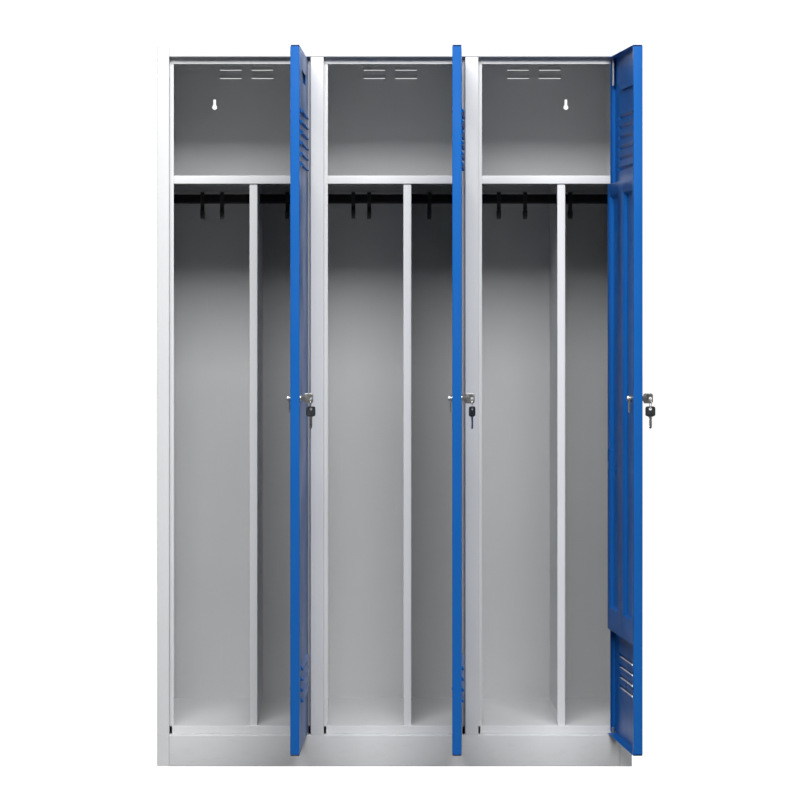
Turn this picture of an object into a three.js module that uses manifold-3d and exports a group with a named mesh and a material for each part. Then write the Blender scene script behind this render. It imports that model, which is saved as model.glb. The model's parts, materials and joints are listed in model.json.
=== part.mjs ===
// A steel clothes locker with three compartments, each behind its own hinged door.
//
// Millimetres, +Z up. X runs across the front, Y runs from the front to the back and Z is height.
// The origin is on the floor, in the middle of the plinth's bottom flange.

import * as THREE from 'three';
import { mergeVertices } from 'three/addons/utils/BufferGeometryUtils.js';
import Module from 'manifold-3d';

const wasm = await Module();
wasm.setup();

// ---------------------------------------------------------------- driving dimensions

const WIDTH = 1185;
const DEPTH = 500;
const HEIGHT = 1800;
const SHEET = 0.6; // carcass sheet steel
const DOOR_SHEET = 0.8;
const GAP = 0.3; // clearance between pieces that lie against each other

const COMPARTMENTS = 3;
const SIDE_POST = 30; // width of the outer post faces
const MIDDLE_POST = 33;
const STOP_DEPTH = 23; // the door stops stand this far behind the front
const STOP_WIDTH = 10;

const PLINTH = 78; // height
const PLINTH_FLANGE = 30; // depth of the flange that rests on the floor
const FLOOR_TOP = 97;
const TOP_RAIL = 29; // height of the rail's face
const TOP_STOP = 16; // the top stop hangs this far below the rail
const CORNER_NOTCH = 6; // the floor's front flange stops short of each post
const PARTITION_TONGUE = 5; // how far a partition's middle runs on behind the door stops

const VENT = { slits: [1762, 1784], inner: 13, outer: 72, height: 11, out: 5, wall: 0.8 };
const KEYHOLE = { offset: 86, bottom: 1684, radius: 6.5, slot: 7, top: 1705 };

const SHELF_TOP = 1476;
const SHELF_LIP = 21;
const SHELF_SETBACK = 27;
const DIVIDER_OFFSET = 143.5; // from the hinge side of the opening to the divider's middle
const DIVIDER_FACE = 20;
const DIVIDER_RETURN = 14;
const DIVIDER_SETBACK = 31;

const RAIL_HEIGHT = 25;
const RAIL_THICK = 11;
const RAIL_WALL = 1.2;
const RAIL_Z = 1427; // middle of the coat rail
const RAIL_DEPTH = 250; // behind the front
const HOOK_WIDTH = 10;
const HOOK_WALL = 5;
const HOOK_PLAY = 0.7;
const HOOK_RADIUS = 20; // outside of the anchor's bow
const HOOK_DROP = 53; // from the rail's middle to the bottom of the bow
const HOOK_OFFSETS = [ // from the middle of the compartment
  [-106, -55, 114],
  [-101, -60, 96],
  [-110, -42, 75],
];

const DOOR_GAP = 3; // between a door and its opening
const DOOR_WIDTH = 347;
const DOOR_BOTTOM = 81;
const DOOR_TOP = 1768;
const DOOR_THICK = 22;
const PIVOT_IN = 12.5; // from the door's hinge edge to the pin's axis
const PIVOT_BACK = 8; // from the door's outer face to the pin's axis
const DOOR_ANGLES = [87.3, 87, 94.5]; // how far each door stands open
const HINGE_FLANGE = 14; // the hinge edge is shallower, so that it clears the stop
const HINGE_CLEAR = 9; // the deep end flanges stop this far from the hinge edge
const DOOR_LIP = 12;

const PIN_RADIUS = 4;
const PIN_HOLE = 4.6;
const PIN_INSIDE = { upper: 69, lower: 16 };
const PIN_OUTSIDE = 9;

const LOCK_Z = 928;
const LOCK_IN = 33.5; // from the door's free edge to the lock's axis
const BARREL_RADIUS = 9;
const PLUG_RADIUS = 6;
const LOCK_RIM = 11;
const RIM_THICK = 2.5;
const BARREL_BEHIND = 1.5; // how far the barrel stands behind the door
const CAM_WIDTH = 14;
const CAM_REACH = 34;
const CAM_THICK = 2.5;
const CAM_BEHIND = 3; // from the door's inner face to the cam
const CAM_NUT = { radius: 6.5, height: 4 };
const BOW = { half: 12, corner: 5, stand: 31 }; // stand is from the door's outer face to its end
const HOLE_IN = 6; // from the end of the bow to the middle of its hole
const HOLE_RADIUS = 3.6;
const KEY_THICK = 2;
const RING_RADIUS = 12.5;
const RING_WIRE = 0.8;
const SPARE_TWIST = [30, 55, 0]; // how far each spare key is turned round the vertical

const LOUVRE_PITCH = 25.6;
const LOUVRE_LENGTH = 250;
const LOUVRE_HEIGHT = 10;
const LOUVRE_OUT = 6.5;
const LOUVRE_WALL = 1;
const UPPER_LOUVRES = { top: 1622, count: 6 };
const LOWER_LOUVRES = { top: 288, count: 4 };
const LABEL = { width: 150, bottom: 1690, top: 1717 };
const STIFFENER = { bottom: 344, top: 1452, left: -321.2, right: 3 };
const FLUTE = { bottom: 397, top: 1425, depth: 10, width: 112, middles: [-83, -259] };

const FRAME_GREY = { color: 0xd6dadc, roughness: 0.45, metalness: 0.0 };
const DOOR_BLUE = { color: 0x0c5fc0, roughness: 0.4, metalness: 0.0 };
const HOOK_BLACK = { color: 0x17181a, roughness: 0.5, metalness: 0.0 };
const NICKEL = { color: 0xbfc1c2, roughness: 0.3, metalness: 1.0 };
const PIN_STEEL = { color: 0x9a9c9e, roughness: 0.4, metalness: 1.0 };

// ---------------------------------------------------------------- places worked out from them

const FRONT = -PLINTH_FLANGE / 2; // the front plane in Y
const BACK = FRONT + DEPTH;
const INNER_BACK = BACK - SHEET - GAP; // inner pieces end here
const PITCH = (WIDTH - 2 * SIDE_POST + MIDDLE_POST) / COMPARTMENTS;
const OPENING = PITCH - MIDDLE_POST;
const STOP_Y = FRONT + STOP_DEPTH;
const JAMB_END = STOP_Y - GAP;
const RAIL_BOTTOM = HEIGHT - TOP_RAIL;
const STOP_BOTTOM = RAIL_BOTTOM - TOP_STOP;
const openingLeft = (k) => -WIDTH / 2 + SIDE_POST + k * PITCH;
const openingRight = (k) => openingLeft(k) + OPENING;
const partitionX = (k) => openingLeft(k) - MIDDLE_POST / 2; // for k = 1 and 2
const pivotX = (k) => openingRight(k) - DOOR_GAP - PIVOT_IN;
const PIVOT_Y = FRONT + PIVOT_BACK;
const RAIL_Y = FRONT + RAIL_DEPTH;

// The clear space between the walls of a compartment.
function wallLeft(k) {
  const wall = k === 0 ? -WIDTH / 2 + SHEET : partitionX(k) + SHEET / 2;
  return wall + GAP;
}

function wallRight(k) {
  return -wallLeft(COMPARTMENTS - 1 - k);
}

const dividerX = (k) => openingRight(k) - DIVIDER_OFFSET;

// ---------------------------------------------------------------- solids

function toSolid(geometry) {
  geometry.deleteAttribute('normal');
  geometry.deleteAttribute('uv');
  const merged = mergeVertices(geometry, 1e-4);
  const vertProperties = new Float32Array(merged.attributes.position.array);
  const triVerts = new Uint32Array(merged.index.array);
  return new wasm.Manifold(new wasm.Mesh({ numProp: 3, vertProperties, triVerts }));
}

function toGeometry(solid) {
  const mesh = solid.getMesh();
  const geometry = new THREE.BufferGeometry();
  geometry.setAttribute('position', new THREE.BufferAttribute(mesh.vertProperties, mesh.numProp));
  geometry.setIndex(new THREE.BufferAttribute(mesh.triVerts, 1));
  geometry.computeVertexNormals();
  return geometry;
}

// A box between two values on each axis.
function block([x0, x1], [y0, y1], [z0, z1]) {
  const geometry = new THREE.BoxGeometry(x1 - x0, y1 - y0, z1 - z0);
  geometry.translate((x0 + x1) / 2, (y0 + y1) / 2, (z0 + z1) / 2);
  return toSolid(geometry);
}

const join = (pieces) => pieces.reduce((whole, piece) => whole.add(piece));
const cut = (solid, tools) => tools.reduce((rest, tool) => rest.subtract(tool), solid);

// A round bar along the axis 'x', 'y' or 'z', from a to b on that axis.
function rod(axis, radius, [a, b], middle, sides = 16) {
  const geometry = new THREE.CylinderGeometry(radius, radius, b - a, sides);
  geometry.rotateY(Math.PI / sides);
  if (axis === 'x') {
    geometry.rotateZ(-Math.PI / 2);
    geometry.translate((a + b) / 2, middle[0], middle[1]);
  } else if (axis === 'z') {
    geometry.rotateX(Math.PI / 2);
    geometry.translate(middle[0], middle[1], (a + b) / 2);
  } else {
    geometry.translate(middle[0], (a + b) / 2, middle[1]);
  }
  return toSolid(geometry);
}

// A shape drawn in Y and Z, made solid along X from x0 to x1.
function alongX(shape, [x0, x1], curveSegments = 6) {
  const settings = { depth: x1 - x0, bevelEnabled: false, curveSegments };
  const geometry = new THREE.ExtrudeGeometry(shape, settings);
  const turn = new THREE.Matrix4().set(0, 0, 1, x0, 1, 0, 0, 0, 0, 1, 0, 0, 0, 0, 0, 1);
  geometry.applyMatrix4(turn);
  return toSolid(geometry);
}

function polygon(points) {
  return new THREE.Shape(points.map(([u, v]) => new THREE.Vector2(u, v)));
}

function add(parent, name, look, solid) {
  const mesh = new THREE.Mesh(toGeometry(solid), new THREE.MeshStandardMaterial(look));
  mesh.name = name;
  parent.add(mesh);
  return mesh;
}

// ---------------------------------------------------------------- carcass

const locker = new THREE.Group();

// A side panel is a flat sheet behind the face of its post.
function sidePanel(side) {
  const outer = side * WIDTH / 2;
  const inner = outer - side * SHEET;
  const x = [Math.min(outer, inner), Math.max(outer, inner)];
  return block(x, [FRONT + SHEET + GAP, INNER_BACK], [0, HEIGHT - SHEET - GAP]);
}

// A partition is a flat sheet that stands on the floor panel, its front edge inside a post.
function partition(k) {
  const x = [partitionX(k) - SHEET / 2, partitionX(k) + SHEET / 2];
  const bottom = FLOOR_TOP + GAP;
  const behindStop = STOP_Y + SHEET + GAP;
  return join([
    block(x, [behindStop, INNER_BACK], [bottom, HEIGHT - SHEET - GAP]),
    block(x, [FRONT + SHEET + GAP, behindStop + PARTITION_TONGUE], [bottom, STOP_BOTTOM - GAP]),
  ]);
}

// An outer post: a face, a leg against the side panel, a jamb and a door stop.
function sidePost(side) {
  const outer = -WIDTH / 2;
  const jamb = outer + SIDE_POST;
  const leg = outer + SHEET + GAP;
  const under = HEIGHT - SHEET - GAP;
  const front = [FRONT, FRONT + SHEET];
  const jambX = [jamb - SHEET, jamb];
  const stopZ = [FLOOR_TOP + GAP, STOP_BOTTOM - GAP];
  const post = join([
    block([outer, jamb], front, [0, HEIGHT]),
    block([leg, leg + SHEET], [FRONT, JAMB_END], [0, under]),
    block(jambX, [FRONT, JAMB_END], [0, under]),
    block(jambX, [FRONT, STOP_Y + SHEET], stopZ),
    block([jamb - SHEET, jamb + STOP_WIDTH], [STOP_Y, STOP_Y + SHEET], stopZ),
  ]);
  return side < 0 ? post : post.mirror([1, 0, 0]);
}

// A middle post: one face with a jamb and a door stop on both sides.
function middlePost(k) {
  const middle = partitionX(k);
  const half = MIDDLE_POST / 2;
  const z = [PLINTH + GAP, RAIL_BOTTOM - GAP];
  const stopZ = [FLOOR_TOP + GAP, STOP_BOTTOM - GAP];
  const pieces = [block([middle - half, middle + half], [FRONT, FRONT + SHEET], z)];
  for (const side of [-1, 1]) {
    const edge = middle + side * half;
    const jambX = [edge, edge - side * SHEET].sort((a, b) => a - b);
    const stopX = [edge - side * SHEET, edge + side * STOP_WIDTH].sort((a, b) => a - b);
    pieces.push(block(jambX, [FRONT, JAMB_END], z));
    pieces.push(block(jambX, [FRONT, STOP_Y + SHEET], stopZ));
    pieces.push(block(stopX, [STOP_Y, STOP_Y + SHEET], stopZ));
  }
  return join(pieces);
}

// Where each door's pin passes through the rail above and the plinth below.
function pinHoles(z) {
  const holes = [];
  for (let k = 0; k < COMPARTMENTS; k += 1) {
    holes.push(rod('z', PIN_HOLE, z, [pivotX(k), PIVOT_Y]));
  }
  return holes;
}

const BETWEEN_POSTS = [-WIDTH / 2 + SIDE_POST + GAP, WIDTH / 2 - SIDE_POST - GAP];

// The rail over the doors: a face, a return that holds the upper pins, and a short lip.
function topRail() {
  const lip = { depth: 20, height: 7 };
  const margin = 1; // the hole tools run past the sheet by this much
  const lipY = [FRONT + lip.depth - SHEET, FRONT + lip.depth];
  const rail = join([
    block(BETWEEN_POSTS, [FRONT, FRONT + SHEET], [RAIL_BOTTOM, HEIGHT]),
    block(BETWEEN_POSTS, [FRONT, FRONT + lip.depth], [RAIL_BOTTOM, RAIL_BOTTOM + SHEET]),
    block(BETWEEN_POSTS, lipY, [RAIL_BOTTOM, RAIL_BOTTOM + lip.height]),
  ]);
  return cut(rail, pinHoles([RAIL_BOTTOM - margin, RAIL_BOTTOM + SHEET + margin]));
}

// The top is a flat sheet whose front flange hangs down behind the rail as the top door stop.
function topPanel() {
  const flangeY = [STOP_Y, STOP_Y + SHEET];
  return join([
    block([-WIDTH / 2, WIDTH / 2], [FRONT + SHEET + GAP, INNER_BACK], [HEIGHT - SHEET, HEIGHT]),
    block(BETWEEN_POSTS, flangeY, [STOP_BOTTOM, HEIGHT]),
  ]);
}

// The plinth: a face, a flange on the floor and a ledge that holds the lower pins.
function plinth() {
  const ledge = STOP_DEPTH + SHEET + 1; // it runs under the floor's front flange
  const margin = 1;
  const body = join([
    block(BETWEEN_POSTS, [FRONT, FRONT + SHEET], [0, PLINTH]),
    block(BETWEEN_POSTS, [FRONT, FRONT + PLINTH_FLANGE], [0, SHEET]),
    block(BETWEEN_POSTS, [FRONT, FRONT + ledge], [PLINTH - SHEET, PLINTH]),
  ]);
  return cut(body, pinHoles([PLINTH - SHEET - margin, PLINTH + margin]));
}

// The floor: a flat sheet with a front flange in each opening, which stops the door.
function floorPanel() {
  const half = WIDTH / 2 - SHEET - GAP;
  const pieces = [block([-half, half], [STOP_Y, INNER_BACK], [FLOOR_TOP - SHEET, FLOOR_TOP])];
  for (let k = 0; k < COMPARTMENTS; k += 1) {
    const x = [openingLeft(k) + CORNER_NOTCH, openingRight(k) - CORNER_NOTCH];
    pieces.push(block(x, [STOP_Y, STOP_Y + SHEET], [PLINTH + GAP, FLOOR_TOP]));
  }
  return join(pieces);
}

// A back panel, with vents near its top. Each vent is a small hood pressed into the compartment
// and open at its bottom. The outer two panels have a keyhole for a wall screw.
function backPanel(k) {
  const left = k === 0 ? -WIDTH / 2 : partitionX(k) + GAP / 2;
  const right = k === COMPARTMENTS - 1 ? WIDTH / 2 : partitionX(k + 1) - GAP / 2;
  const middle = (k - 1) * PITCH;
  const face = BACK - SHEET;
  const margin = 1; // the tools run past the sheet by this much
  const panel = [block([left, right], [face, BACK], [0, HEIGHT])];
  const tools = [];
  for (const z of VENT.slits) {
    const tip = face - VENT.out;
    const root = face + SHEET / 2; // inside the sheet, so that the hood joins it
    const hood = polygon([[root, z + VENT.height], [root, z], [tip, z]]);
    const inside = polygon([
      [BACK + margin, z + VENT.height - 1.4 * VENT.wall],
      [BACK + margin, z - VENT.wall],
      [tip + 0.9 * VENT.wall, z - VENT.wall],
      [tip + 1.2 * VENT.wall, z + 0.2 * VENT.wall],
    ]);
    for (const side of [-1, 1]) {
      const x = [side * VENT.inner, side * VENT.outer].map((end) => middle + end).sort((a, b) => a - b);
      panel.push(alongX(hood, x));
      tools.push(alongX(inside, [x[0] + VENT.wall, x[1] - VENT.wall]));
    }
  }
  if (k !== 1) {
    const x = middle + (k - 1) * KEYHOLE.offset;
    const through = [face - margin, BACK + margin];
    tools.push(rod('y', KEYHOLE.radius, through, [x, KEYHOLE.bottom], 16));
    const slotX = [x - KEYHOLE.slot / 2, x + KEYHOLE.slot / 2];
    tools.push(block(slotX, through, [KEYHOLE.bottom, KEYHOLE.top]));
  }
  return cut(join(panel), tools);
}

// ---------------------------------------------------------------- inside a compartment

// The hat shelf: a sheet with a lip at the front and a flange at the back.
function hatShelf(k) {
  const x = [wallLeft(k), wallRight(k)];
  const front = FRONT + SHELF_SETBACK;
  const z = [SHELF_TOP - SHELF_LIP, SHELF_TOP];
  return join([
    block(x, [front, INNER_BACK], [SHELF_TOP - SHEET, SHELF_TOP]),
    block(x, [front, front + SHEET], z),
    block(x, [INNER_BACK - SHEET, INNER_BACK], z),
  ]);
}

// The divider: an upright sheet with a folded front edge, and a hole that the rail passes through.
function divider(k) {
  const left = dividerX(k) - DIVIDER_FACE / 2;
  const right = left + DIVIDER_FACE;
  const front = FRONT + DIVIDER_SETBACK;
  const z = [FLOOR_TOP + GAP, SHELF_TOP - SHEET - GAP];
  const wall = join([
    block([right - SHEET, right], [front, INNER_BACK - SHEET - GAP], z),
    block([left, right], [front, front + SHEET], z),
    block([left, left + SHEET], [front, front + DIVIDER_RETURN], z),
  ]);
  const play = 1.2;
  const holeY = [RAIL_Y - RAIL_THICK / 2 - play, RAIL_Y + RAIL_THICK / 2 + play];
  const holeZ = [RAIL_Z - RAIL_HEIGHT / 2 - play, RAIL_Z + RAIL_HEIGHT / 2 + play];
  return cut(wall, [block([right - 2 * SHEET, right + SHEET], holeY, holeZ)]);
}

// An outline with straight upright sides and round ends, drawn in Y and Z.
function oval(middleY, middleZ, thick, height) {
  const radius = thick / 2;
  const straight = height / 2 - radius;
  const path = new THREE.Shape();
  path.moveTo(middleY + radius, middleZ - straight);
  path.lineTo(middleY + radius, middleZ + straight);
  path.absarc(middleY, middleZ + straight, radius, 0, Math.PI, false);
  path.lineTo(middleY - radius, middleZ - straight);
  path.absarc(middleY, middleZ - straight, radius, Math.PI, 2 * Math.PI, false);
  return path;
}

// The coat rail: an open-ended oval tube from wall to wall.
function coatRail(k) {
  const outline = oval(RAIL_Y, RAIL_Z, RAIL_THICK, RAIL_HEIGHT);
  outline.holes.push(oval(RAIL_Y, RAIL_Z, RAIL_THICK - 2 * RAIL_WALL, RAIL_HEIGHT - 2 * RAIL_WALL));
  return alongX(outline, [wallLeft(k), wallRight(k)], 4);
}

// A coat hook: a loop round the rail with a double hook, shaped like an anchor, under it.
function coatHook(x) {
  const width = [x - HOOK_WIDTH / 2, x + HOOK_WIDTH / 2];
  const space = oval(RAIL_Y, RAIL_Z, RAIL_THICK + 2 * HOOK_PLAY, RAIL_HEIGHT + 2 * HOOK_PLAY);
  const growth = 2 * (HOOK_PLAY + HOOK_WALL);
  const loop = oval(RAIL_Y, RAIL_Z, RAIL_THICK + growth, RAIL_HEIGHT + growth);
  const middle = RAIL_Z - HOOK_DROP + HOOK_RADIUS;
  const bar = 5.5; // thickness of the bow
  const bow = new THREE.Shape();
  bow.absarc(RAIL_Y, middle, HOOK_RADIUS, Math.PI, 2 * Math.PI, false);
  bow.absarc(RAIL_Y + HOOK_RADIUS - bar / 2, middle, bar / 2, 0, Math.PI, false);
  bow.absarc(RAIL_Y, middle, HOOK_RADIUS - bar, 2 * Math.PI, Math.PI, true);
  bow.absarc(RAIL_Y - HOOK_RADIUS + bar / 2, middle, bar / 2, 0, Math.PI, false);
  const stem = 3.5;
  const stemZ = [middle - HOOK_RADIUS + 1, RAIL_Z - RAIL_HEIGHT / 2 - HOOK_PLAY - 1];
  const whole = join([
    alongX(loop, width, 4),
    alongX(bow, width, 6),
    block(width, [RAIL_Y - stem, RAIL_Y + stem], stemZ),
  ]);
  return cut(whole, [alongX(space, [width[0] - 1, width[1] + 1], 4)]);
}

// ---------------------------------------------------------------- a door
//
// A door is drawn closed, in a group whose origin is on the pins' axis at floor level. The group
// turns with the door. In it X runs from the free edge to the hinge edge, and Y from the outer
// face to the inner one.

const EDGE = { free: PIVOT_IN - DOOR_WIDTH, hinge: PIVOT_IN };
const FACE = { outer: -PIVOT_BACK, inner: DOOR_THICK - PIVOT_BACK };
const LOCK_X = EDGE.free + LOCK_IN;
const RIM_FRONT = FACE.outer - GAP - RIM_THICK;
const LOUVRE_MIDDLE = (EDGE.free + EDGE.hinge) / 2;

// A louvre's hood is pressed out of the sheet and open at the bottom.
function louvre(top) {
  const x = [LOUVRE_MIDDLE - LOUVRE_LENGTH / 2, LOUVRE_MIDDLE + LOUVRE_LENGTH / 2];
  const y = FACE.outer;
  const bottom = top - LOUVRE_HEIGHT;
  const root = y + DOOR_SHEET / 2; // inside the sheet, so that the hood joins it
  const behind = y + DOOR_SHEET + 1;
  const tip = y - LOUVRE_OUT;
  const hood = polygon([[root, top], [root, bottom], [tip, bottom]]);
  const inside = polygon([
    [behind, top - 1.4 * LOUVRE_WALL],
    [behind, bottom - LOUVRE_WALL],
    [tip + 0.9 * LOUVRE_WALL, bottom - LOUVRE_WALL],
    [tip + 1.2 * LOUVRE_WALL, bottom + 0.2 * LOUVRE_WALL],
  ]);
  return { hood: alongX(hood, x), inside: alongX(inside, [x[0] + LOUVRE_WALL, x[1] - LOUVRE_WALL]) };
}

// The skin: one sheet folded into a tray, with a lip along each of its upright edges.
function doorSkin() {
  const z = [DOOR_BOTTOM, DOOR_TOP];
  const full = [EDGE.free, EDGE.hinge];
  const cleared = EDGE.hinge - HINGE_CLEAR;
  const deep = [FACE.outer, FACE.inner];
  const shallow = [FACE.outer, FACE.outer + HINGE_FLANGE];
  const lipY = [FACE.inner - DOOR_SHEET, FACE.inner];
  const hingeLipY = [shallow[1] - DOOR_SHEET, shallow[1]];
  const pieces = [
    block(full, [FACE.outer, FACE.outer + DOOR_SHEET], z),
    block([EDGE.free, EDGE.free + DOOR_SHEET], deep, z),
    block([EDGE.free, EDGE.free + DOOR_LIP], lipY, z),
    block([EDGE.hinge - DOOR_SHEET, EDGE.hinge], shallow, z),
    block([cleared, EDGE.hinge], hingeLipY, z),
  ];
  for (const [edge, inward] of [[DOOR_BOTTOM, 1], [DOOR_TOP, -1]]) {
    const flangeZ = [edge, edge + inward * DOOR_SHEET].sort((a, b) => a - b);
    pieces.push(block([EDGE.free, cleared], deep, flangeZ));
    pieces.push(block(full, shallow, flangeZ));
  }
  const margin = 1; // the tools run past the sheet by this much
  const faceY = [FACE.outer - margin, FACE.outer + DOOR_SHEET + margin];
  const labelX = [LOUVRE_MIDDLE - LABEL.width / 2, LOUVRE_MIDDLE + LABEL.width / 2];
  const tools = [
    rod('y', BARREL_RADIUS + GAP, faceY, [LOCK_X, LOCK_Z]),
    rod('z', PIN_RADIUS + GAP, [DOOR_BOTTOM - margin, DOOR_BOTTOM + DOOR_SHEET + margin], [0, 0]),
    rod('z', PIN_RADIUS + GAP, [DOOR_TOP - DOOR_SHEET - margin, DOOR_TOP + margin], [0, 0]),
    block(labelX, faceY, [LABEL.bottom, LABEL.top]),
  ];
  for (const { top, count } of [UPPER_LOUVRES, LOWER_LOUVRES]) {
    for (let n = 0; n < count; n += 1) {
      const { hood, inside } = louvre(top - n * LOUVRE_PITCH);
      pieces.push(hood);
      tools.push(inside);
    }
  }
  return cut(join(pieces), tools);
}

// The stiffener: a sheet welded across the inside of the door, with two long flutes pressed in it.
function doorStiffener() {
  const inner = FACE.inner;
  const { bottom, top, left, right } = STIFFENER;
  const pieces = [block([left, right], [inner - DOOR_SHEET, inner], [bottom, top])];
  const tools = [];
  const floor = inner - FLUTE.depth;
  for (const middle of FLUTE.middles) {
    const x = [middle - FLUTE.width / 2, middle + FLUTE.width / 2];
    const z = [FLUTE.bottom, FLUTE.top];
    pieces.push(block(x, [floor - DOOR_SHEET, inner], z));
    const insideX = [x[0] + DOOR_SHEET, x[1] - DOOR_SHEET];
    const insideZ = [z[0] + DOOR_SHEET, z[1] - DOOR_SHEET];
    tools.push(block(insideX, [floor, inner + 1], insideZ));
  }
  const holeY = [floor - 2 * DOOR_SHEET, floor + DOOR_SHEET];
  tools.push(rod('y', BARREL_RADIUS + GAP, holeY, [LOCK_X, LOCK_Z]));
  return cut(join(pieces), tools);
}

// The lock's barrel: a sleeve through the door with a rim outside.
function lockBarrel() {
  const middle = [LOCK_X, LOCK_Z];
  const rear = FACE.inner + BARREL_BEHIND;
  const body = join([
    rod('y', LOCK_RIM, [RIM_FRONT, FACE.outer - GAP], middle, 24),
    rod('y', BARREL_RADIUS, [RIM_FRONT + RIM_THICK / 2, rear], middle, 16),
  ]);
  return cut(body, [rod('y', PLUG_RADIUS + GAP, [RIM_FRONT - 1, rear + 1], middle, 16)]);
}

const CAM_Y = [FACE.inner + CAM_BEHIND, FACE.inner + CAM_BEHIND + CAM_THICK];
const KEYWAY = { width: 3, height: 8.5, depth: 20 };

// The plug turns in the barrel. It carries the cam, which a nut holds, and takes the key in a slot.
// The cam hangs straight down when the door is unlocked.
function lockCam() {
  const middle = [LOCK_X, LOCK_Z];
  const half = CAM_WIDTH / 2;
  const tip = LOCK_Z - CAM_REACH + half;
  const overlap = 0.5; // joined solids run into each other by this much
  const body = join([
    rod('y', PLUG_RADIUS, [RIM_FRONT, CAM_Y[0] + overlap], middle, 16),
    block([LOCK_X - half, LOCK_X + half], CAM_Y, [tip, LOCK_Z]),
    rod('y', half, CAM_Y, middle, 16),
    rod('y', half, CAM_Y, [LOCK_X, tip], 16),
    rod('y', CAM_NUT.radius, [CAM_Y[1] - overlap, CAM_Y[1] + CAM_NUT.height], middle, 6),
  ]);
  const { width, height, depth } = KEYWAY;
  const slotX = [LOCK_X - width / 2, LOCK_X + width / 2];
  const slotZ = [LOCK_Z - height / 2, LOCK_Z + height / 2];
  return cut(body, [block(slotX, [RIM_FRONT - 1, RIM_FRONT + depth], slotZ)]);
}

const BOW_Y = FACE.outer - BOW.stand + BOW.half; // the middle of the bow
const HOLE_Y = FACE.outer - BOW.stand + HOLE_IN;

// A square with round corners, drawn in Y and Z.
function bowOutline(y, z) {
  const { half, corner } = BOW;
  const inset = half - corner;
  const outline = new THREE.Shape();
  outline.absarc(y + inset, z + inset, corner, 0, Math.PI / 2, false);
  outline.absarc(y - inset, z + inset, corner, Math.PI / 2, Math.PI, false);
  outline.absarc(y - inset, z - inset, corner, Math.PI, Math.PI * 1.5, false);
  outline.absarc(y + inset, z - inset, corner, Math.PI * 1.5, Math.PI * 2, false);
  return outline;
}

// The key in the lock: a blade in the keyway and a flat square bow with a hole for the ring.
function key() {
  const x = [LOCK_X - KEY_THICK / 2, LOCK_X + KEY_THICK / 2];
  const through = [x[0] - 1, x[1] + 1];
  const bladeEnd = RIM_FRONT + KEYWAY.depth - 2;
  const half = KEYWAY.height / 2 - GAP;
  const body = join([
    alongX(bowOutline(BOW_Y, LOCK_Z), x),
    block(x, [BOW_Y, bladeEnd], [LOCK_Z - half, LOCK_Z + half]),
  ]);
  return cut(body, [rod('x', HOLE_RADIUS, through, [HOLE_Y, LOCK_Z], 16)]);
}

// The ring hangs from the key's hole, in a plane along the door.
function keyRing() {
  const points = new THREE.Path();
  points.absarc(RING_RADIUS, 0, RING_WIRE, 0, 2 * Math.PI, false);
  const geometry = new THREE.LatheGeometry(points.getPoints(3), 20);
  const ring = toSolid(geometry);
  return ring.translate([LOCK_X, HOLE_Y, LOCK_Z - RING_RADIUS]);
}

const SPARE = { blade: 30, bladeWidth: 8, point: 3, tip: 2.5, hang: RING_RADIUS * 2 };

// The spare key hangs from the bottom of the ring. It is drawn round its own hole.
function spareKey() {
  const x = [-KEY_THICK / 2, KEY_THICK / 2];
  const middle = -BOW.half + HOLE_IN;
  const half = SPARE.bladeWidth / 2;
  const tip = middle - BOW.half - SPARE.blade;
  const blade = polygon([
    [-half, middle],
    [-half, tip + SPARE.point],
    [-half + SPARE.tip, tip],
    [half - SPARE.tip, tip],
    [half, tip + SPARE.point],
    [half, middle],
  ]);
  const body = join([alongX(bowOutline(0, middle), x), alongX(blade, x)]);
  return cut(body, [rod('x', HOLE_RADIUS, [x[0] - 1, x[1] + 1], [0, 0], 16)]);
}

function buildDoor(k) {
  const door = new THREE.Group();
  door.position.set(pivotX(k), PIVOT_Y, 0);
  door.rotation.z = THREE.MathUtils.degToRad(DOOR_ANGLES[k]);
  const n = k + 1;
  const upper = [DOOR_TOP - PIN_INSIDE.upper, DOOR_TOP + PIN_OUTSIDE];
  const lower = [DOOR_BOTTOM - PIN_OUTSIDE, DOOR_BOTTOM + PIN_INSIDE.lower];
  add(door, `door_skin_${n}`, DOOR_BLUE, doorSkin());
  add(door, `door_stiffener_${n}`, DOOR_BLUE, doorStiffener());
  add(door, `upper_hinge_pin_${n}`, PIN_STEEL, rod('z', PIN_RADIUS, upper, [0, 0]));
  add(door, `lower_hinge_pin_${n}`, PIN_STEEL, rod('z', PIN_RADIUS, lower, [0, 0]));
  add(door, `lock_barrel_${n}`, NICKEL, lockBarrel());
  add(door, `lock_cam_${n}`, NICKEL, lockCam());
  add(door, `key_${n}`, NICKEL, key());
  add(door, `key_ring_${n}`, NICKEL, keyRing());
  const spare = add(door, `spare_key_${n}`, NICKEL, spareKey());
  spare.position.set(LOCK_X, HOLE_Y, LOCK_Z - SPARE.hang);
  spare.rotation.z = THREE.MathUtils.degToRad(SPARE_TWIST[k]);
  return door;
}

// ---------------------------------------------------------------- the whole locker

add(locker, 'left_side_panel', FRAME_GREY, sidePanel(-1));
add(locker, 'right_side_panel', FRAME_GREY, sidePanel(1));
add(locker, 'left_post', FRAME_GREY, sidePost(-1));
add(locker, 'right_post', FRAME_GREY, sidePost(1));
add(locker, 'top_panel', FRAME_GREY, topPanel());
add(locker, 'top_rail', FRAME_GREY, topRail());
add(locker, 'floor_panel', FRAME_GREY, floorPanel());
add(locker, 'plinth', FRAME_GREY, plinth());

for (let k = 1; k < COMPARTMENTS; k += 1) {
  add(locker, `partition_${k}`, FRAME_GREY, partition(k));
  add(locker, `middle_post_${k}`, FRAME_GREY, middlePost(k));
}

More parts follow.
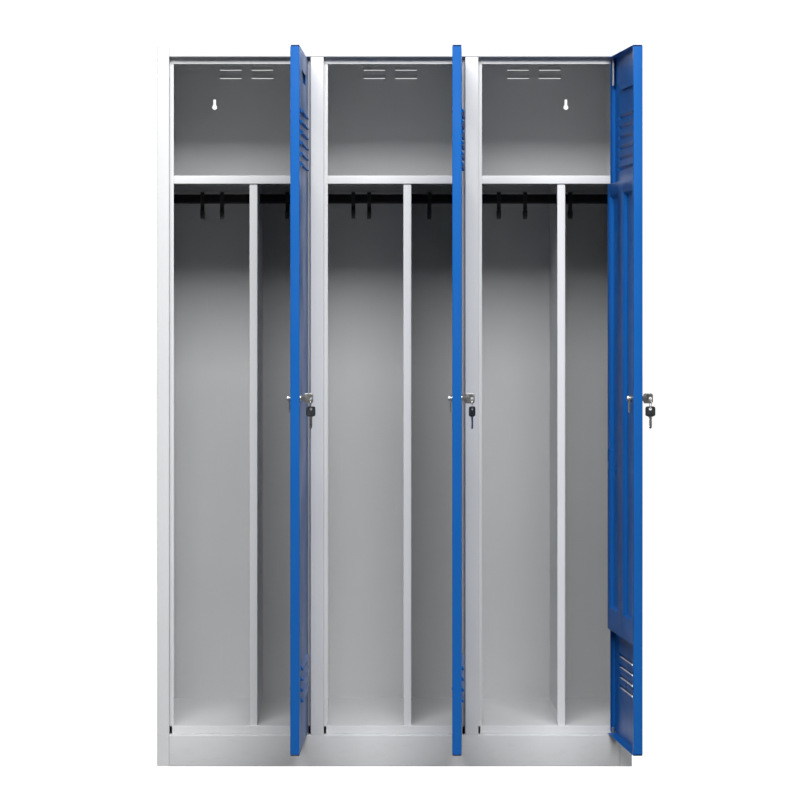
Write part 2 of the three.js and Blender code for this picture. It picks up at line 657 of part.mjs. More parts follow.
for (let k = 0; k < COMPARTMENTS; k += 1) {
  const n = k + 1;
  add(locker, `back_panel_${n}`, FRAME_GREY, backPanel(k));
  add(locker, `hat_shelf_${n}`, FRAME_GREY, hatShelf(k));
  add(locker, `divider_${n}`, FRAME_GREY, divider(k));
  add(locker, `coat_rail_${n}`, HOOK_BLACK, coatRail(k));
  HOOK_OFFSETS[k].forEach((offset, h) => {
    add(locker, `coat_hook_${n}_${h + 1}`, HOOK_BLACK, coatHook((k - 1) * PITCH + offset));
  });
  locker.add(buildDoor(k));
}

export default locker;
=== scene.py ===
"""A steel clothes locker with three blue louvred doors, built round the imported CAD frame."""

import json
import math

import bmesh
import bpy
from mathutils import Matrix, Vector


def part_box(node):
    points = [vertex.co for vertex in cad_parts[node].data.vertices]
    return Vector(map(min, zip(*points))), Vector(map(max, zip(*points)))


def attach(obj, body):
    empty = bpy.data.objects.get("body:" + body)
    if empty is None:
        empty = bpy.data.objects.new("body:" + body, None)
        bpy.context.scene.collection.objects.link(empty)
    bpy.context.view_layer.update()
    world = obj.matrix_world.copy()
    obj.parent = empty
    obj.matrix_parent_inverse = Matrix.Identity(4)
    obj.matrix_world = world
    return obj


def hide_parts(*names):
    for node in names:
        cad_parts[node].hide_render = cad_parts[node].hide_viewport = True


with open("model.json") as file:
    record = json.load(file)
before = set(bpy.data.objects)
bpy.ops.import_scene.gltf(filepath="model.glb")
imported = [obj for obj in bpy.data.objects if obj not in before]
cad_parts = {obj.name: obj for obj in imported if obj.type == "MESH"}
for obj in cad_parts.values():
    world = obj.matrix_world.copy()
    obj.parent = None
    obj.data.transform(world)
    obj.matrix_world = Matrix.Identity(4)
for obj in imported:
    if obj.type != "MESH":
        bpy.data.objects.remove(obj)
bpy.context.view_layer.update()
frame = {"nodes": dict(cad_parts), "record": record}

MM = 0.001
SHEET = 0.6 * MM  # carcass sheet
HALF = SHEET / 2
DOOR_SHEET = 0.8 * MM
DOOR_HALF = DOOR_SHEET / 2
GAP = 0.3 * MM
BEND = 1.6 * MM  # radius of a fold in the sheet
STOP_WIDTH = 10 * MM  # how far a door stop stands into its opening
COMPARTMENTS = (1, 2, 3)

joints = {joint["name"]: joint for joint in frame["record"]["behaviour"]["joints"]}


# ---------------------------------------------------------------- materials

def node_material(name):
    material = bpy.data.materials.new(name)
    material.use_nodes = True
    tree = material.node_tree
    return material, tree, tree.nodes["Principled BSDF"]


def link(tree, source, output, target, socket):
    tree.links.new(source.outputs[output], target.inputs[socket])


def noise(tree, scale, detail=4.0, stretch=None):
    """Noise in the object's own coordinates, with scale in cycles per metre."""
    coords = tree.nodes.new("ShaderNodeTexCoord")
    texture = tree.nodes.new("ShaderNodeTexNoise")
    texture.inputs["Scale"].default_value = scale
    texture.inputs["Detail"].default_value = detail
    if stretch is None:
        link(tree, coords, "Object", texture, "Vector")
        return texture
    mapping = tree.nodes.new("ShaderNodeMapping")
    mapping.inputs["Scale"].default_value = stretch
    link(tree, coords, "Object", mapping, "Vector")
    link(tree, mapping, "Vector", texture, "Vector")
    return texture


def ramp(tree, source, output, stops):
    node = tree.nodes.new("ShaderNodeValToRGB")
    while len(node.color_ramp.elements) < len(stops):
        node.color_ramp.elements.new(0.5)
    for element, (position, colour) in zip(node.color_ramp.elements, stops):
        element.position = position
        element.color = (*colour, 1) if len(colour) == 3 else colour
    link(tree, source, output, node, "Fac")
    return node


def grey(value):
    return (value, value, value)


def mix(tree, factor, factor_output, first, second):
    """Mixes two colours. Each is a colour, or a node with a Color output."""
    node = tree.nodes.new("ShaderNodeMix")
    node.data_type = "RGBA"
    link(tree, factor, factor_output, node, "Factor")
    for socket, value in ((node.inputs[6], first), (node.inputs[7], second)):
        if isinstance(value, tuple):
            socket.default_value = (*value, 1)
        else:
            tree.links.new(value.outputs[2] if value.type == "MIX" else value.outputs["Color"], socket)
    return node


def bump(tree, shader, layers):
    """Adds bumps from (node, output, strength, distance in metres), one on top of another."""
    below = None
    for source, output, strength, distance in layers:
        node = tree.nodes.new("ShaderNodeBump")
        node.inputs["Strength"].default_value = strength
        node.inputs["Distance"].default_value = distance
        link(tree, source, output, node, "Height")
        if below is not None:
            link(tree, below, "Normal", node, "Normal")
        below = node
    link(tree, below, "Normal", shader, "Normal")


def height_mask(tree, low, high):
    """1 at height low and 0 at height high, in metres."""
    coords = tree.nodes.new("ShaderNodeTexCoord")
    split = tree.nodes.new("ShaderNodeSeparateXYZ")
    link(tree, coords, "Object", split, "Vector")
    span = tree.nodes.new("ShaderNodeMapRange")
    span.inputs["From Min"].default_value = low
    span.inputs["From Max"].default_value = high
    span.inputs["To Min"].default_value = 1.0
    span.inputs["To Max"].default_value = 0.0
    link(tree, split, "Z", span, "Value")
    return span


def multiply(tree, a, a_output, b, b_output):
    node = tree.nodes.new("ShaderNodeMath")
    node.operation = "MULTIPLY"
    tree.links.new(a.outputs[a_output], node.inputs[0])
    tree.links.new(b.outputs[b_output], node.inputs[1])
    return node


def powder_coat(name, base, dirt, tone=0.04, roughness=0.42):
    """Textured powder coat: orange peel, faint tone changes, fine scratches, and scuffs low down."""
    material, tree, shader = node_material(name)
    clouds = noise(tree, 2.2, 3.0)
    dark = tuple(c * (1 - tone) for c in base)
    light = tuple(min(1.0, c * (1 + tone)) for c in base)
    colour = ramp(tree, clouds, "Fac", [(0.35, dark), (0.65, light)])
    scuffs = noise(tree, 34, 6.0, (1.0, 1.0, 3.2))
    scuff_mask = ramp(tree, scuffs, "Fac", [(0.56, grey(0.0)), (0.70, grey(1.0))])
    low = height_mask(tree, 0.0, 0.16)
    worn = multiply(tree, scuff_mask, "Color", low, "Result")
    strength = tree.nodes.new("ShaderNodeMath")
    strength.operation = "MULTIPLY"
    strength.inputs[1].default_value = 0.08
    link(tree, worn, "Value", strength, "Value")
    scratches = noise(tree, 210, 2.0, (1.0, 1.0, 0.035))
    scratch_mask = ramp(tree, scratches, "Fac", [(0.70, grey(0.0)), (0.74, grey(0.12))])
    worn_colour = mix(tree, strength, "Value", colour, dirt)
    final = mix(tree, scratch_mask, "Color", worn_colour, tuple(min(1.0, c * 1.25 + 0.03) for c in base))
    tree.links.new(final.outputs[2], shader.inputs["Base Color"])
    gloss = ramp(tree, noise(tree, 6, 3.0), "Fac",
                 [(0.3, grey(roughness - 0.05)), (0.7, grey(roughness + 0.07))])
    link(tree, gloss, "Color", shader, "Roughness")
    shader.inputs["Specular IOR Level"].default_value = 0.25
    peel = noise(tree, 620, 2.0)
    waves = noise(tree, 5.5, 2.0)
    bump(tree, shader, [(waves, "Fac", 0.25, 0.0012), (peel, "Fac", 0.16, 0.00025)])
    return material


def moulded_plastic(name, base, roughness=0.5):
    material, tree, shader = node_material(name)
    colour = ramp(tree, noise(tree, 40, 3.0), "Fac",
                  [(0.35, tuple(c * 0.8 for c in base)), (0.65, tuple(c * 1.25 for c in base))])
    link(tree, colour, "Color", shader, "Base Color")
    gloss = ramp(tree, noise(tree, 160, 4.0), "Fac",
                 [(0.3, grey(roughness - 0.1)), (0.7, grey(roughness + 0.1))])
    link(tree, gloss, "Color", shader, "Roughness")
    bump(tree, shader, [(noise(tree, 2600, 2.0), "Fac", 0.25, 0.00008)])
    return material


def metal(name, base, roughness=0.3, brushed=(1.0, 1.0, 0.05)):
    """Bare or plated metal with fine brush lines and small stains."""
    material, tree, shader = node_material(name)
    shader.inputs["Metallic"].default_value = 1.0
    colour = ramp(tree, noise(tree, 70, 5.0), "Fac",
                  [(0.3, tuple(c * 0.78 for c in base)), (0.7, base)])
    link(tree, colour, "Color", shader, "Base Color")
    lines = noise(tree, 2400, 2.0, brushed)
    gloss = ramp(tree, lines, "Fac", [(0.3, grey(roughness - 0.08)), (0.7, grey(roughness + 0.12))])
    link(tree, gloss, "Color", shader, "Roughness")
    bump(tree, shader, [(lines, "Fac", 0.2, 0.00004)])
    return material


GREY = powder_coat("frame_grey", (0.635, 0.64, 0.645), (0.28, 0.27, 0.25), tone=0.025)
BLUE = powder_coat("door_blue", (0.006, 0.10, 0.37), (0.01, 0.05, 0.16), tone=0.05, roughness=0.32)
RAIL_BLACK = powder_coat("rail_black", (0.012, 0.012, 0.014), (0.05, 0.05, 0.05), roughness=0.34)
HOOK_BLACK = moulded_plastic("hook_black", (0.012, 0.012, 0.013))
KEY_CAP = moulded_plastic("key_cap", (0.022, 0.024, 0.026), 0.42)
RUBBER = moulded_plastic("rubber", (0.03, 0.03, 0.032), 0.7)
NICKEL = metal("lock_nickel", (0.66, 0.65, 0.63), 0.3)
PIN_STEEL = metal("pin_steel", (0.52, 0.53, 0.54), 0.36)


# ---------------------------------------------------------------- mesh helpers

def finish_piece(name, vertices, faces, materials, body, place=None, thick=None,
                 bevel=None, sharp=32, material_of=None):
    """Makes a piece from vertices and faces in metres, moved by the matrix place, on a body."""
    mesh = bpy.data.meshes.new(name)
    mesh.from_pydata([tuple(v) for v in vertices], [], faces)
    mesh.validate()
    piece = bpy.data.objects.new(name, mesh)
    bpy.context.scene.collection.objects.link(piece)
    work = bmesh.new()
    work.from_mesh(mesh)
    bmesh.ops.remove_doubles(work, verts=work.verts, dist=1e-6)
    bmesh.ops.recalc_face_normals(work, faces=work.faces)
    work.to_mesh(mesh)
    work.free()
    if thick:
        shell = piece.modifiers.new("thick", "SOLIDIFY")
        shell.thickness = thick
        shell.offset = 0
        shell.use_even_offset = True
        shell.use_quality_normals = True
    if bevel:
        edge = piece.modifiers.new("bevel", "BEVEL")
        edge.width = bevel
        edge.segments = 2
        edge.limit_method = "ANGLE"
        edge.angle_limit = math.radians(40)
    if thick or bevel:
        view = bpy.context.evaluated_depsgraph_get()
        solid = bpy.data.meshes.new_from_object(piece.evaluated_get(view))
        piece.modifiers.clear()
        piece.data = solid
        solid.name = name
        bpy.data.meshes.remove(mesh)
    mesh = piece.data
    if place is not None:
        mesh.transform(place)
    for material in materials if isinstance(materials, list) else [materials]:
        mesh.materials.append(material)
    if material_of is not None:
        for face in mesh.polygons:
            face.material_index = material_of(face.center)
    mesh.polygons.foreach_set("use_smooth", [True] * len(mesh.polygons))
    mesh.set_sharp_from_angle(angle=math.radians(sharp))
    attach(piece, body)
    return piece


def rounded(points, radius=BEND, steps=5):
    """A line of points with its corners turned into arcs."""
    line = [Vector(points[0])]
    for before, corner, after in zip(points, points[1:], points[2:]):
        corner = Vector(corner)
        back = (Vector(before) - corner).normalized()
        ahead = (Vector(after) - corner).normalized()
        half = back.angle(ahead) / 2
        reach = radius / math.tan(half)
        centre = corner + (back + ahead).normalized() * (radius / math.sin(half))
        start = corner + back * reach - centre
        turn = math.pi - 2 * half
        if back.x * ahead.y - back.y * ahead.x > 0:
            turn = -turn
        for step in range(steps + 1):
            line.append(centre + Matrix.Rotation(turn * step / steps, 2) @ start)
    line.append(Vector(points[-1]))
    return line


def folded(name, points, stretch, place, material, body, radius=BEND, thick=SHEET,
           matrix=None, replaced=()):
    """A folded sheet. points is its line in section, stretch is its two ends along the fold, and
    place(u, v, w) turns a point of the section and a place along the fold into X, Y and Z."""
    line = rounded(points, radius)
    vertices = [place(p[0], p[1], w) for p in line for w in stretch]
    faces = [(2 * i, 2 * i + 1, 2 * i + 3, 2 * i + 2) for i in range(len(line) - 1)]
    piece = finish_piece(name, vertices, faces, material, body, matrix, thick)
    if replaced:
        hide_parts(*replaced)
    return piece


def upright(u, v, w):
    """A section drawn in X and Y, running up Z."""
    return (u, v, w)


def across(u, v, w):
    """A section drawn in Y and Z, running along X."""
    return (w, u, v)


def along(u, v, w):
    """A section drawn in X and Z, running along Y."""
    return (u, w, v)


def arc(centre, radius, first, last, steps):
    """Points on a circle, from one angle to another in degrees."""
    points = []
    for step in range(steps + 1):
        angle = math.radians(first + (last - first) * step / steps)
        points.append((centre[0] + radius * math.cos(angle), centre[1] + radius * math.sin(angle)))
    return points


def cut_plate(name, outline, holes, half, bevel, place, material, body, segments=3):
    """A plate of the given half thickness with rounded edges, from an outline and holes in it.
    place is a matrix that takes the plate's own X and Y into the model."""
    curve = bpy.data.curves.new(name, "CURVE")
    curve.dimensions = "2D"
    curve.fill_mode = "BOTH"
    curve.extrude = half - bevel
    curve.bevel_depth = bevel
    curve.bevel_resolution = segments - 1
    curve.offset = -bevel
    for loop in [outline, *holes]:
        spline = curve.splines.new("POLY")
        spline.points.add(len(loop) - 1)
        for point, (x, y) in zip(spline.points, loop):
            point.co = (x, y, 0, 1)
        spline.use_cyclic_u = True
    holder = bpy.data.objects.new(name, curve)
    bpy.context.scene.collection.objects.link(holder)
    view = bpy.context.evaluated_depsgraph_get()
    mesh = bpy.data.meshes.new_from_object(holder.evaluated_get(view))
    bpy.data.objects.remove(holder)
    vertices = [v.co.copy() for v in mesh.vertices]
    faces = [tuple(p.vertices) for p in mesh.polygons]
    bpy.data.meshes.remove(mesh)
    return finish_piece(name, vertices, faces, material, body, place, sharp=50)


def lathe(name, profile, matrix, material, body, sides=40, sharp=32):
    """A turned piece. profile is a closed line of (radius, place along the axis)."""
    vertices = []
    for side in range(sides):
        angle = 2 * math.pi * side / sides
        for radius, place in profile:
            vertices.append((radius * math.cos(angle), radius * math.sin(angle), place))
    count = len(profile)
    faces = []
    for side in range(sides):
        following = (side + 1) % sides
        for i in range(count):
            j = (i + 1) % count
            faces.append((side * count + i, side * count + j, following * count + j, following * count + i))
    return finish_piece(name, vertices, faces, material, body, matrix, sharp=sharp)


def tube_along(name, centres, radius, material, body, sides=10, closed=False, matrix=None):
    """A round bar along a line of points."""
    count = len(centres)
    points = [Vector(c) for c in centres]
    vertices, faces = [], []
    for i, point in enumerate(points):
        before = points[i - 1] if i or closed else point
        after = points[(i + 1) % count] if i < count - 1 or closed else point
        ahead = (after - before).normalized()
        side = ahead.cross(Vector((0.0, 0.02, 1.0))).normalized()
        if abs(ahead.z) > 0.98:
            side = ahead.cross(Vector((1.0, 0.0, 0.02))).normalized()
        up = ahead.cross(side)
        for n in range(sides):
            angle = 2 * math.pi * n / sides
            vertices.append(point + radius * (math.cos(angle) * side + math.sin(angle) * up))
    for i in range(count if closed else count - 1):
        j = (i + 1) % count
        for n in range(sides):
            m = (n + 1) % sides
            faces.append((i * sides + n, i * sides + m, j * sides + m, j * sides + n))
    if not closed:
        faces.append(tuple(range(sides)))
        faces.append(tuple(reversed(range((count - 1) * sides, count * sides))))
    return finish_piece(name, vertices, faces, material, body, matrix, sharp=60)


# ---------------------------------------------------------------- places from the frame

def corners(node):
    low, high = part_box(node)
    return Vector(low), Vector(high)


frame_low, _ = corners("left_post")
_, frame_high = corners("right_post")
_, back_high = corners("back_panel_1")
LEFT, RIGHT, FRONT, BACK, HEIGHT = frame_low.x, frame_high.x, frame_low.y, back_high.y, frame_high.z
STOP_Y = corners("left_post")[1].y - HALF  # the middle of the door stops' sheet


# ---------------------------------------------------------------- carcass

def side_post(name, side):
    """An outer post: face, jamb and door stop as one folded sheet, and a foot, head and leg."""
    low, high = corners(name)
    outer = (low.x if side < 0 else high.x) - side * HALF
    stop_end = high.x if side < 0 else low.x
    jamb = stop_end + side * (STOP_WIDTH + HALF)
    leg = outer - side * (SHEET + GAP)
    section = [(leg, STOP_Y), (leg, FRONT + 3 * MM)]
    face = [(outer, FRONT + 4 * MM), (outer, FRONT + HALF), (jamb, FRONT + HALF), (jamb, STOP_Y),
            (stop_end, STOP_Y)]
    upper = corners("top_panel")[0].z - 0.3 * MM
    lower = corners("floor_panel")[1].z + 0.3 * MM
    face_piece = folded(name + "_sheet", face, (lower, upper), upright, GREY, "cabinet",
                        replaced=(name,))
    plain = face[:-1]
    plain[-1] = (jamb, STOP_Y - 0.8 * MM)
    folded(name + "_foot", plain, (0.0, lower), upright, GREY, "cabinet")
    folded(name + "_head", plain, (upper, HEIGHT - 0.2 * MM), upright, GREY, "cabinet")
    folded(name + "_leg", section, (1 * MM, HEIGHT - 3 * MM), upright, GREY, "cabinet")
    return face_piece


def middle_post(name):
    low, high = corners(name)
    middle = (low.x + high.x) / 2
    reach = (high.x - low.x) / 2
    jamb = reach - STOP_WIDTH - HALF
    section = [(middle - reach, STOP_Y), (middle - jamb, STOP_Y), (middle - jamb, FRONT + HALF),
               (middle + jamb, FRONT + HALF), (middle + jamb, STOP_Y), (middle + reach, STOP_Y)]
    upper = corners("top_panel")[0].z - 0.3 * MM
    lower = corners("floor_panel")[1].z + 0.3 * MM
    folded(name + "_sheet", section, (lower, upper), upright, GREY, "cabinet",
           replaced=(name,))
    plain = [(x, min(y, STOP_Y - 0.8 * MM)) for x, y in section[1:-1]]
    folded(name + "_foot", plain, (low.z, lower), upright, GREY, "cabinet")
    folded(name + "_head", plain, (upper, high.z), upright, GREY, "cabinet")


def top_rail():
    low, high = corners("top_rail")
    section = [(FRONT + 6 * MM, high.z - HALF), (FRONT + HALF, high.z - HALF), (FRONT + HALF, low.z + HALF),
               (high.y - HALF, low.z + HALF), (high.y - HALF, low.z + 7 * MM)]
    folded("top_rail_sheet", section, (low.x, high.x), across, GREY, "cabinet",
           replaced=("top_rail",))


def top_panel():
    """The flat top, and its front flange that hangs down behind the rail as a door stop."""
    low, high = corners("top_panel")
    under = high.z - HALF - SHEET - 0.1 * MM
    section = [(STOP_Y, low.z + HALF), (STOP_Y, under), (high.y - 2 * MM, under)]
    top = folded("top_panel_sheet", [(FRONT + 9 * MM, high.z - HALF), (high.y - HALF, high.z - HALF),
                                     (high.y - HALF, high.z - 14 * MM)],
                 (low.x + HALF, high.x - HALF), across, GREY, "cabinet",
                 replaced=("top_panel",))
    inner = corners("top_rail")
    folded("top_stop", section, (inner[0].x, inner[1].x), across, GREY, "cabinet")
    return top


def plinth():
    low, high = corners("plinth")
    section = [(high.y, low.z + HALF), (FRONT + HALF, low.z + HALF), (FRONT + HALF, high.z - HALF),
               (FRONT + 24 * MM, high.z - HALF)]
    folded("plinth_sheet", section, (low.x, high.x), across, GREY, "cabinet",
           replaced=("plinth",))


def floor_panel():
    """The floor sheet, and in each opening a front flange that stops the door."""
    low, high = corners("floor_panel")
    top = high.z - HALF
    notch = 6 * MM
    floor = folded("floor_panel_sheet", [(STOP_Y, top), (high.y - HALF, top), (high.y - HALF, top + 12 * MM)],
                   (low.x, high.x), across, GREY, "cabinet", replaced=("floor_panel",))
    for k in COMPARTMENTS:
        left, right = opening(k)
        lid = top + SHEET + 0.1 * MM
        folded(f"floor_flange_{k}", [(STOP_Y, low.z), (STOP_Y, lid), (STOP_Y + 30 * MM, lid)],
               (left + notch, right - notch), across, GREY, "cabinet")
    return floor


def opening(k):
    """The left and right edges of the clear opening of compartment k."""
    posts = ["left_post", "middle_post_1", "middle_post_2", "right_post"]
    left = corners(posts[k - 1])[1].x - STOP_WIDTH
    right = corners(posts[k])[0].x + STOP_WIDTH
    return left, right


def back_seams(k):
    """Folds down the two back corners of a compartment, which the back panel is welded to."""
    low, high = corners(f"hat_shelf_{k}")
    for side, x in (("left", low.x), ("right", high.x)):
        inward = 1 if side == "left" else -1
        rear = corners(f"back_panel_{k}")[0].y - HALF - 0.1 * MM
        wall = x + inward * HALF
        section = [(wall + inward * 13 * MM, rear), (wall, rear), (wall, rear - 14 * MM)]
        bottom, top = corners("floor_panel")[1].z + 1 * MM, HEIGHT - 3 * MM
        for part, stretch in (("low", (bottom, low.z - 1 * MM)), ("high", (high.z + 1 * MM, top))):
            folded(f"back_seam_{k}_{side}_{part}", section, stretch, upright, GREY, "cabinet")


def hat_shelf(k):
    low, high = corners(f"hat_shelf_{k}")
    top = high.z - HALF
    section = [(low.y + 11 * MM, low.z + 7 * MM), (low.y + 11 * MM, low.z + HALF), (low.y + HALF, low.z + HALF),
               (low.y + HALF, top), (high.y - HALF, top), (high.y - HALF, low.z + HALF),
               (high.y - 9 * MM, low.z + HALF)]
    folded(f"hat_shelf_{k}_sheet", section, (low.x, high.x), across, GREY, "cabinet",
           replaced=(f"hat_shelf_{k}",))
    for side, x in (("left", low.x), ("right", high.x)):
        inward = 1 if side == "left" else -1
        wall = x + inward * HALF
        section = [(wall + inward * 11 * MM, top - 1 * MM), (wall, top - 1 * MM), (wall, top - 15 * MM)]
        folded(f"shelf_cleat_{k}_{side}", section, (low.y + 14 * MM, high.y - 12 * MM), along, GREY,
               "cabinet")


def divider(k):
    """The upright sheet between the two hanging spaces, folded round at the front."""
    low, high = corners(f"divider_{k}")
    section = [(low.x + 6 * MM, low.y + 13 * MM), (low.x + HALF, low.y + 13 * MM), (low.x + HALF, low.y + HALF),
               (high.x - HALF, low.y + HALF), (high.x - HALF, high.y), (high.x - 12 * MM, high.y)]
    rail_low, rail_high = corners(f"coat_rail_{k}")
    play = 1.2 * MM
    line = rounded(section)
    hole = (rail_low.y - play, rail_high.y + play, rail_low.z - play, rail_high.z + play)
    wall = [p for p in line if p.y < hole[0]]
    rest = [p for p in line if p.y > hole[1]]
    spine = wall + [Vector((high.x - HALF, hole[0])), Vector((high.x - HALF, hole[1]))] + rest
    levels = [low.z, hole[2], hole[3], high.z]
    vertices = [(p.x, p.y, z) for p in spine for z in levels]
    faces = []
    for i in range(len(spine) - 1):
        for j in range(len(levels) - 1):
            if i == len(wall) and j == 1:
                continue
            a = i * len(levels) + j
            faces.append((a, a + 1, a + 1 + len(levels), a + len(levels)))
    piece = finish_piece(f"divider_{k}_sheet", vertices, faces, GREY, "cabinet", thick=SHEET)
    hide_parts(f"divider_{k}")
    foot_z = low.z + HALF
    folded(f"divider_foot_{k}", [(high.x - 2 * HALF - HALF, foot_z + 14 * MM), (high.x - 3 * HALF, foot_z),
                                 (high.x - 16 * MM, foot_z)],
           (low.y + 20 * MM, high.y - 14 * MM), along, GREY, "cabinet")


def oval(thick, height, steps=8):
    """An outline with upright sides and round ends, drawn round its middle."""
    radius = thick / 2
    straight = height / 2 - radius
    return arc((0, straight), radius, 0, 180, steps) + arc((0, -straight), radius, 180, 360, steps)


def ring_solid(name, outer, inner, stretch, middle, material, body):
    """A tube along X with the given outer and inner outlines."""
    count = len(outer)
    vertices = []
    for x in stretch:
        for loop in (outer, inner):
            vertices += [(x, middle[0] + u, middle[1] + v) for u, v in loop]
    faces = []
    for i in range(count):
        j = (i + 1) % count
        faces.append((i, j, 2 * count + j, 2 * count + i))
        faces.append((count + j, count + i, 3 * count + i, 3 * count + j))
        faces.append((j, i, count + i, count + j))
        faces.append((2 * count + i, 2 * count + j, 3 * count + j, 3 * count + i))
    return finish_piece(name, vertices, faces, material, body, bevel=0.4 * MM)


def coat_rail(k):
    low, high = corners(f"coat_rail_{k}")
    middle = ((low.y + high.y) / 2, (low.z + high.z) / 2)
    thick, height = high.y - low.y, high.z - low.z
    rail = ring_solid(f"coat_rail_{k}_tube", oval(thick, height), oval(thick - 2.4 * MM, height - 2.4 * MM),
                      (low.x, high.x), middle, RAIL_BLACK, "cabinet")
    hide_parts(f"coat_rail_{k}")
    outer = oval(thick + 9 * MM, height + 9 * MM)
    inner = oval(thick + 0.8 * MM, height + 0.8 * MM)
    for side, x in (("left", low.x), ("right", high.x)):
        inward = 1 if side == "left" else -1
        stretch = sorted((x, x + inward * 2 * MM))  # the end hooks slide up to it
        ring_solid(f"rail_socket_{k}_{side}", outer, inner, stretch, middle, RAIL_BLACK, "cabinet")


def coat_hook(k, h):
    """A moulded hook: a loop round the rail over an anchor-shaped double hook."""
    node = f"coat_hook_{k}_{h}"
    low, high = corners(node)
    rail_low, rail_high = corners(f"coat_rail_{k}")
    centre = Vector(((low.x + high.x) / 2, (rail_low.y + rail_high.y) / 2, (rail_low.z + rail_high.z) / 2))
    stem, bow, bar, wall = 3.5 * MM, 20 * MM, 5.5 * MM, 5.7 * MM
    straight = (rail_high.z - rail_low.z) / 2 - (rail_high.y - rail_low.y) / 2
    outer = (rail_high.y - rail_low.y) / 2 + wall
    middle = low.z - centre.z + bow
    inner = bow - bar
    below = math.degrees(math.acos(stem / inner))
    round_loop = math.degrees(math.acos(stem / outer))
    outline = [(stem, -straight - math.sqrt(outer ** 2 - stem ** 2))]
    outline += arc((0, middle), inner, -below, 0, 12)
    outline += arc((bow - bar / 2, middle), bar / 2, 180, 0, 6)[1:]
    outline += arc((0, middle), bow, 0, -180, 28)[1:]
    outline += arc((-bow + bar / 2, middle), bar / 2, 180, 0, 6)[1:]
    outline += arc((0, middle), inner, 180, 180 + below, 12)[1:]
    outline += arc((0, -straight), outer, -180 + round_loop, -180, 8)
    outline += arc((0, straight), outer, 180, 0, 18)
    outline += arc((0, -straight), outer, 0, -round_loop, 8)[:-1]
    gap = wall - 5 * MM
    hole = oval(rail_high.y - rail_low.y + 2 * gap, rail_high.z - rail_low.z + 2 * gap)
    turn = Matrix(((0, 0, 1, centre.x), (1, 0, 0, centre.y), (0, 1, 0, centre.z), (0, 0, 0, 1)))
    piece = cut_plate(f"{node}_moulding", outline, [hole], (high.x - low.x) / 2, 1.1 * MM, turn, HOOK_BLACK,
                      f"hook_{k}_{h}")
    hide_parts(node)


# ---------------------------------------------------------------- doors
#
# A door is drawn closed, round the axis of its pins: X runs from the free edge to the hinge edge,
# Y from the outer face to the inner face. door_place turns that into the door's place at rest.

DOOR = {
    "width": 347 * MM, "thick": 22 * MM, "pivot_in": 12.5 * MM, "pivot_back": 8 * MM,
    "hinge_flange": 14 * MM, "hinge_clear": 9 * MM, "lip": 12 * MM,
}
FREE = DOOR["pivot_in"] - DOOR["width"] + DOOR_HALF
HINGE = DOOR["pivot_in"] - DOOR_HALF
OUTER = -DOOR["pivot_back"] + DOOR_HALF
INNER = DOOR["thick"] - DOOR["pivot_back"] - DOOR_HALF
LOUVRE = {"length": 250 * MM, "height": 10 * MM, "out": 6.5 * MM, "end": 9 * MM, "pitch": 25.6 * MM}
LOUVRE_TOPS = [1622 * MM - n * LOUVRE["pitch"] for n in range(6)]
LOUVRE_TOPS += [288 * MM - n * LOUVRE["pitch"] for n in range(4)]
LOUVRE_MIDDLE = (FREE + HINGE) / 2
LABEL = {"left": -236 * MM, "right": -86 * MM, "bottom": 1690 * MM, "top": 1717 * MM}
LOCK = {"x": -301 * MM, "z": 928 * MM, "opening": 7.4 * MM}


def door_place(k):
    joint = joints[f"door_{k}_hinge"]
    x, y, _ = joint["pos_m"]
    angle = math.radians(-joint["range_deg"][0])
    return Matrix.Translation((x, y, 0)) @ Matrix.Rotation(angle, 4, "Z")


def fold_steps(depth, lip, steps=5):
    """The sheet past a folded edge, as (distance in from the edge, depth) pairs. The edge folds
    back to depth, and its lip turns in again where there is one."""
    points = [(BEND * 2.2, 0.0), (0.0, 0.0), (0.0, depth)]
    if lip:
        points.append((lip, depth))
    return [tuple(p) for p in rounded(points, BEND, steps)][1:]


